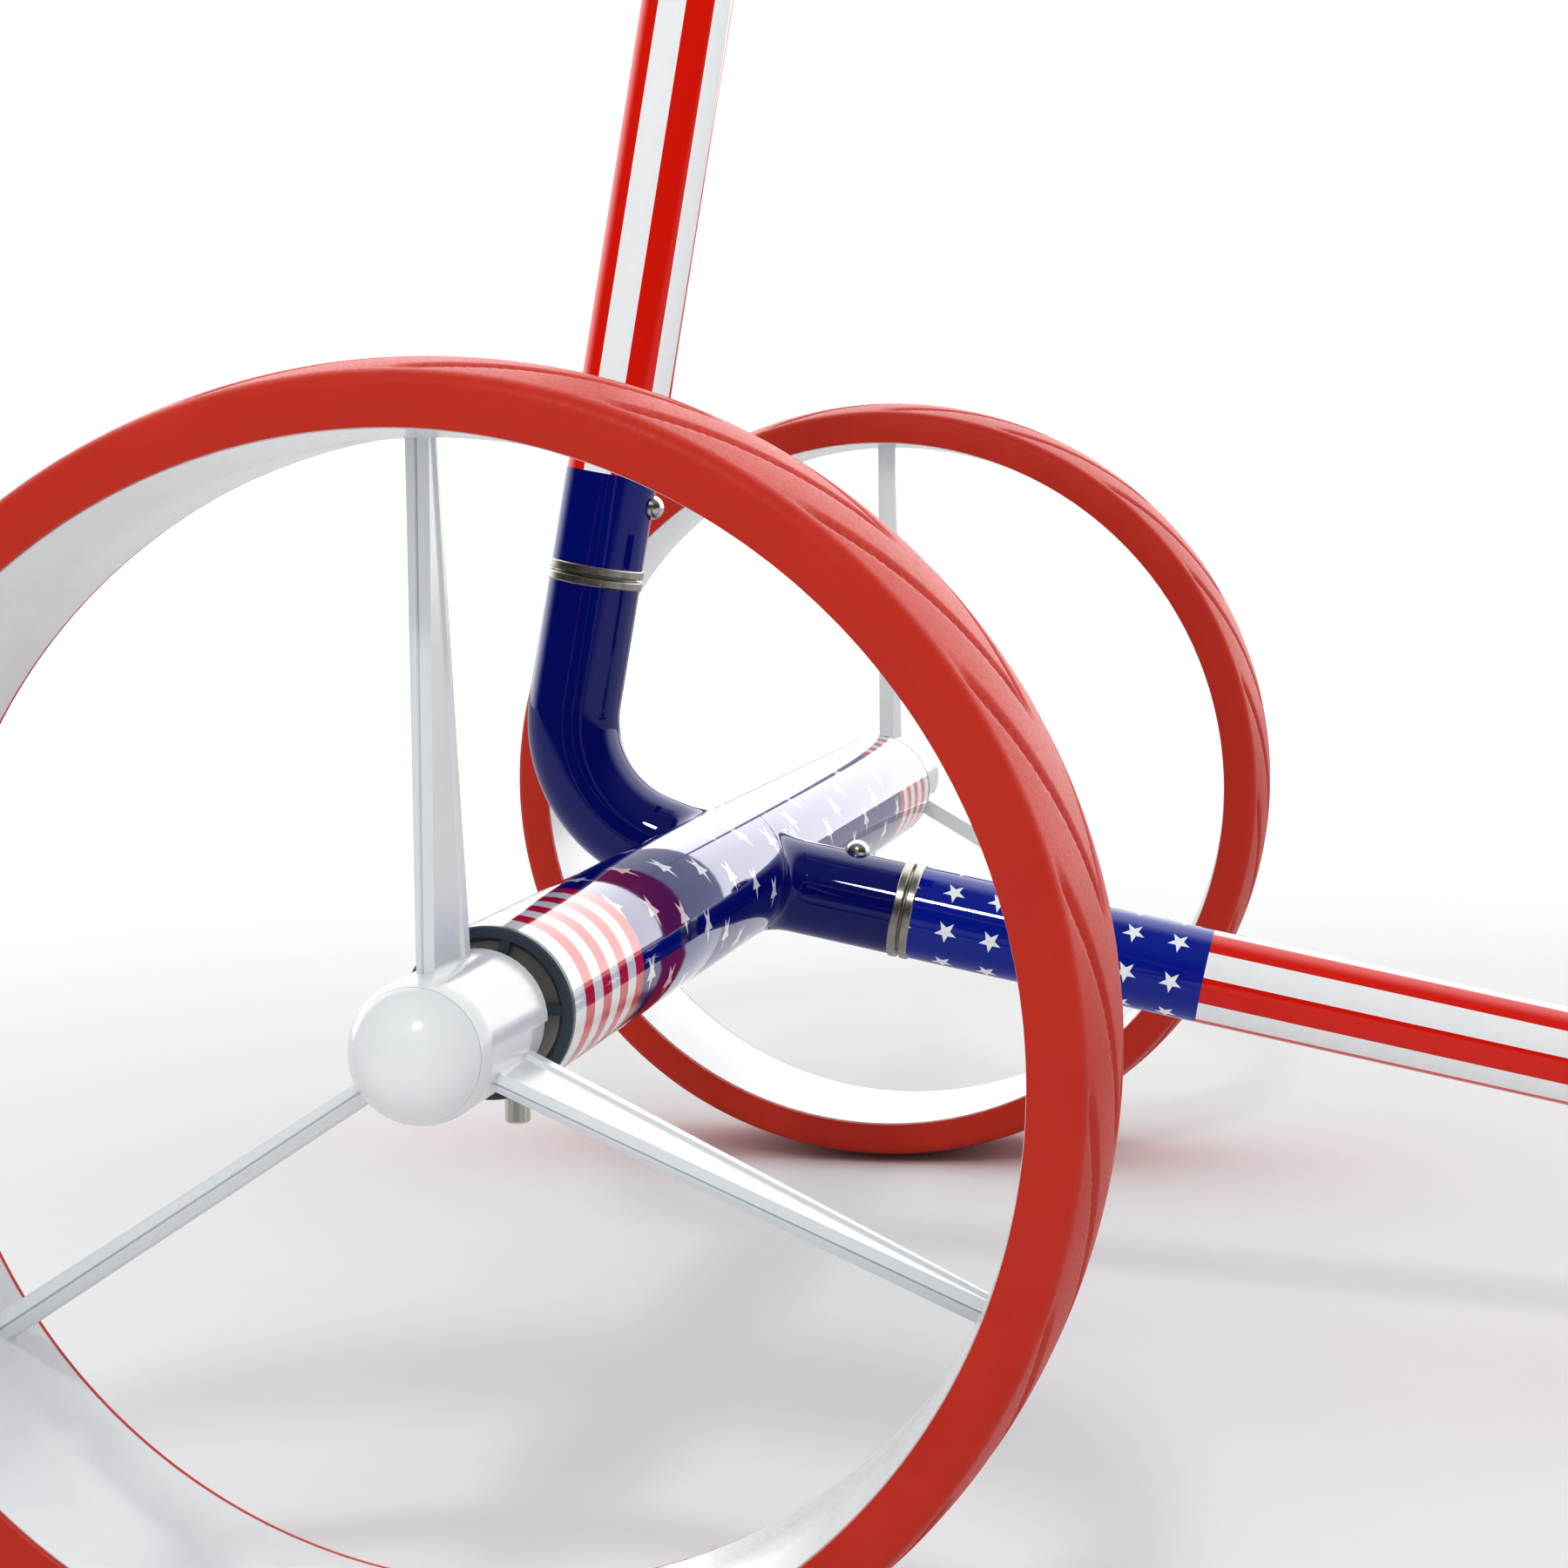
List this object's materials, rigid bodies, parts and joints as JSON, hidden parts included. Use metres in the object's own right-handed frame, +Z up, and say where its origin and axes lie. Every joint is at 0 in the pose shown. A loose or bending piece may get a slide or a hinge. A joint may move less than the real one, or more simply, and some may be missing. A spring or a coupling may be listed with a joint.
{
  "type": "golf trolley",
  "caption": "Two-wheeled golf bag trolley: plug-in tube frame on a cross axle, spoked wheels, bag cradles and a tilting handle.",
  "frame": {"origin": "on the floor, under the middle of the object's footprint, where it stands on both wheels and the foot", "axes": "+X forward from the wheels to the bag shelf, +Y to the trolley's left along the axle, +Z up"},
  "size_m": [0.7343, 0.7014, 1.0032],
  "materials": {
    "wheel_white": "gloss white, moulded",
    "tyre_red": "satin red foam rubber",
    "steel": "turned stainless steel",
    "ring_steel": "brushed and slightly worn stainless steel",
    "flag_paint": "red and white stripes and navy with white stars under clear lacquer",
    "navy_paint": "navy under clear lacquer",
    "white_paint": "gloss white powder coat",
    "alloy": "satin turned aluminium",
    "dark_plastic": "dark grey moulded nylon",
    "grip_rubber": "black foam rubber",
    "pad_rubber": "black rubber",
    "strap_webbing": "navy elastic webbing"
  },
  "bodies": {
    "frame": {"cross_tube": "flag_paint", "left_end_ring": "dark_plastic", "right_end_ring": "dark_plastic", "left_bearing_carrier": "alloy", "right_bearing_carrier": "alloy", "left_outer_bearing": "steel", "right_outer_bearing": "steel", "left_inner_bearing": "steel", "right_inner_bearing": "steel", "left_plunger_spring": "steel", "right_plunger_spring": "steel", "elbow_tube": "navy_paint", "lower_stub": "navy_paint", "elbow_ring": "ring_steel", "upper_tube_ring": "ring_steel", "stub_ring": "ring_steel", "lower_tube_ring": "ring_steel", "upper_spigot": "alloy", "lower_spigot": "alloy", "upper_tube": "flag_paint", "lower_tube": "flag_paint", "upper_button_spring": "steel", "lower_button_spring": "steel", "handle_eye": "alloy", "pivot_bolt": "steel", "upper_clamp": "alloy", "lower_clamp": "alloy", "upper_cradle": "white_paint", "lower_cradle": "white_paint", "upper_cradle_pads": "pad_rubber", "lower_cradle_pads": "pad_rubber", "upper_strap_hooks": "steel", "lower_strap_hooks": "steel", "upper_strap": "strap_webbing", "lower_strap": "strap_webbing", "bag_shelf": "dark_plastic", "foot": "pad_rubber"},
    "left_wheel_body": {"left_wheel": "wheel_white", "left_tyre": "tyre_red", "left_hub_cap": "wheel_white", "left_wheel_axle": "steel", "left_axle_nut": "steel"},
    "left_plunger_body": {"left_release_plunger": "steel"},
    "right_wheel_body": {"right_wheel": "wheel_white", "right_tyre": "tyre_red", "right_hub_cap": "wheel_white", "right_wheel_axle": "steel", "right_axle_nut": "steel"},
    "right_plunger_body": {"right_release_plunger": "steel"},
    "upper_button_body": {"upper_snap_button": "steel"},
    "lower_button_body": {"lower_snap_button": "steel"},
    "handle_body": {"handle_fork": "dark_plastic", "handle_stem": "navy_paint", "handle_bar": "navy_paint", "left_grip": "grip_rubber", "right_grip": "grip_rubber", "left_bar_cap": "dark_plastic", "right_bar_cap": "dark_plastic"},
    "knob_body": {"handle_knob": "dark_plastic"}
  },
  "joints": [
    {"name": "right_wheel_spin", "type": "hinge", "parent": "frame", "child": "right_wheel_body", "pos_m": [-0.22218, -0.314, 0.145], "axis": [0, 1, 0], "continuous": true},
    {"name": "left_wheel_spin", "type": "hinge", "parent": "frame", "child": "left_wheel_body", "pos_m": [-0.22218, 0.314, 0.145], "axis": [0, 1, 0], "continuous": true},
    {"name": "right_plunger_pull", "type": "slide", "parent": "frame", "child": "right_plunger_body", "axis": [0, 0, -1], "range_m": [0, 0.002], "stiffness_N_per_m": 900, "springref_m": -0.004, "deforming": ["right_plunger_spring"]},
    {"name": "left_plunger_pull", "type": "slide", "parent": "frame", "child": "left_plunger_body", "axis": [0, 0, -1], "range_m": [0, 0.002], "stiffness_N_per_m": 900, "springref_m": -0.004, "deforming": ["left_plunger_spring"]},
    {"name": "upper_button_press", "type": "slide", "parent": "frame", "child": "upper_button_body", "axis": [-0.9857, 0, 0.1687], "range_m": [0, 0.0051], "stiffness_N_per_m": 700, "springref_m": -0.006},
    {"name": "lower_button_press", "type": "slide", "parent": "frame", "child": "lower_button_body", "axis": [-0.1942, 0, -0.981], "range_m": [0, 0.0051], "stiffness_N_per_m": 700, "springref_m": -0.006},
    {"name": "handle_tilt", "type": "hinge", "parent": "frame", "child": "handle_body", "pos_m": [-0.15618, 0, 0.86514], "axis": [0, 1, 0], "range_deg": [-50, 60]},
    {"name": "knob_turn", "type": "hinge", "parent": "frame", "child": "knob_body", "pos_m": [-0.15618, 0, 0.86514], "axis": [0, 1, 0], "range_deg": [-180, 0]}
  ]
}
